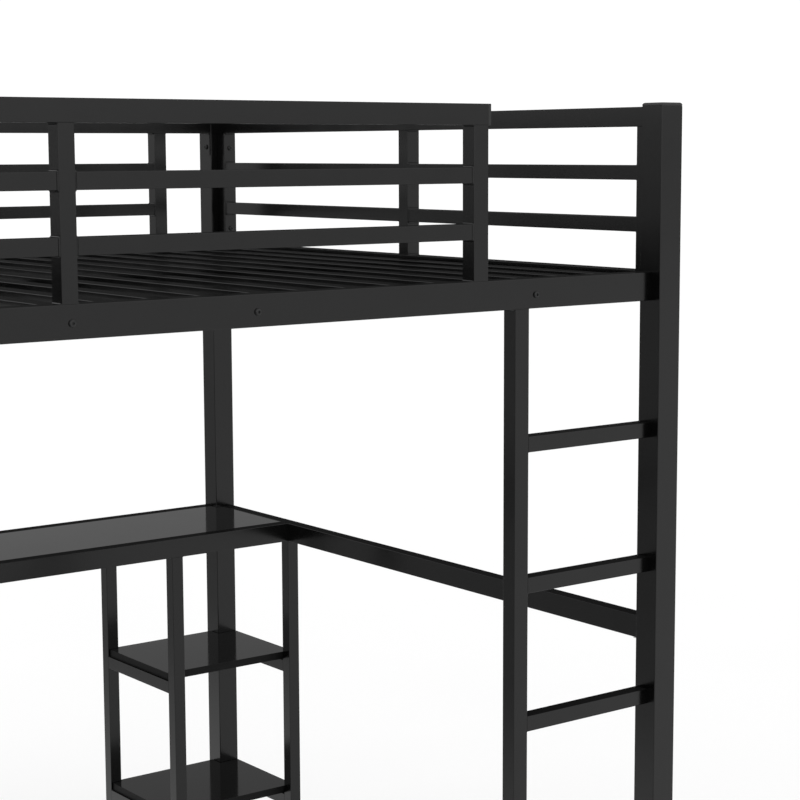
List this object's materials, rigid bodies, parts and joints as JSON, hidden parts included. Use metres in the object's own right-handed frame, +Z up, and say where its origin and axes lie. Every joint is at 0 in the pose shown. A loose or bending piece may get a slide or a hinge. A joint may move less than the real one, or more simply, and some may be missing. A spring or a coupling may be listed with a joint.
{
  "type": "loft bed with desk",
  "caption": "Black steel loft bed with a slatted deck of about full mattress size, guard rails, a side ladder, and a full-length desk with a small shelf tower underneath.",
  "frame": {"origin": "centre of the bed's footprint, on the floor", "axes": "+X along the bed's length towards the ladder end, +Y across it towards the desk side, +Z up"},
  "size_m": [2.0126, 1.462, 1.662],
  "materials": {
    "black_powder_coat": "satin black powder coat on steel tube",
    "black_board": "semi-gloss black laminate on board",
    "black_plastic": "fine-grained black moulded plastic",
    "black_hardware": "black oxide on steel bolts and screws",
    "zinc_steel": "bright zinc plate on hidden nuts, plates and cleats"
  },
  "bodies": {
    "root": {"post_front_left": "black_powder_coat", "post_front_right": "black_powder_coat", "post_rear_left": "black_powder_coat", "post_rear_right": "black_powder_coat", "post_caps": "black_plastic", "post_feet": "black_plastic", "side_rail_front": "black_powder_coat", "side_rail_rear": "black_powder_coat", "slat_ledge_front": "black_powder_coat", "slat_ledge_rear": "black_powder_coat", "slats": "black_powder_coat", "centre_beam": "black_powder_coat", "guard_front_top_rail": "black_powder_coat", "guard_front_uprights": "black_powder_coat", "guard_front_bars": "black_powder_coat", "guard_rear_top_rail": "black_powder_coat", "guard_rear_uprights": "black_powder_coat", "guard_rear_bars": "black_powder_coat", "guard_end_plug": "black_plastic", "guard_tabs": "black_powder_coat", "end_frame_left_top_rail": "black_powder_coat", "end_frame_left_deck_rail": "black_powder_coat", "end_frame_left_side_tubes": "black_powder_coat", "end_frame_left_upright": "black_powder_coat", "end_frame_left_bars": "black_powder_coat", "end_frame_right_top_rail": "black_powder_coat", "end_frame_right_deck_rail": "black_powder_coat", "end_frame_right_side_tubes": "black_powder_coat", "end_frame_right_upright": "black_powder_coat", "end_frame_right_bars": "black_powder_coat", "ladder_stile": "black_powder_coat", "ladder_rung_1": "black_powder_coat", "ladder_rung_2": "black_powder_coat", "ladder_rung_3": "black_powder_coat", "ladder_rung_4": "black_powder_coat", "ladder_rung_5": "black_powder_coat", "desk_end_rail_left": "black_powder_coat", "desk_end_rail_right": "black_powder_coat", "desk_front_rail": "black_powder_coat", "desk_rear_rail": "black_powder_coat", "desk_braces": "black_powder_coat", "desk_panel": "black_board", "tower_leg_rear_left": "black_powder_coat", "tower_leg_front_left": "black_powder_coat", "tower_leg_front_right": "black_powder_coat", "small_feet": "black_plastic", "shelf_upper_rails": "black_powder_coat", "shelf_upper_board": "black_board", "shelf_lower_rails": "black_powder_coat", "shelf_lower_board": "black_board", "side_rail_bolts": "black_hardware", "side_rail_nuts": "zinc_steel", "post_bolts": "black_hardware", "end_plates": "zinc_steel", "end_frame_bolts": "black_hardware", "desk_cleats": "zinc_steel", "cleat_bolts": "black_hardware", "rivet_nuts": "zinc_steel", "desk_panel_screws": "black_hardware", "shelf_screws": "black_hardware"}
  },
  "joints": []
}
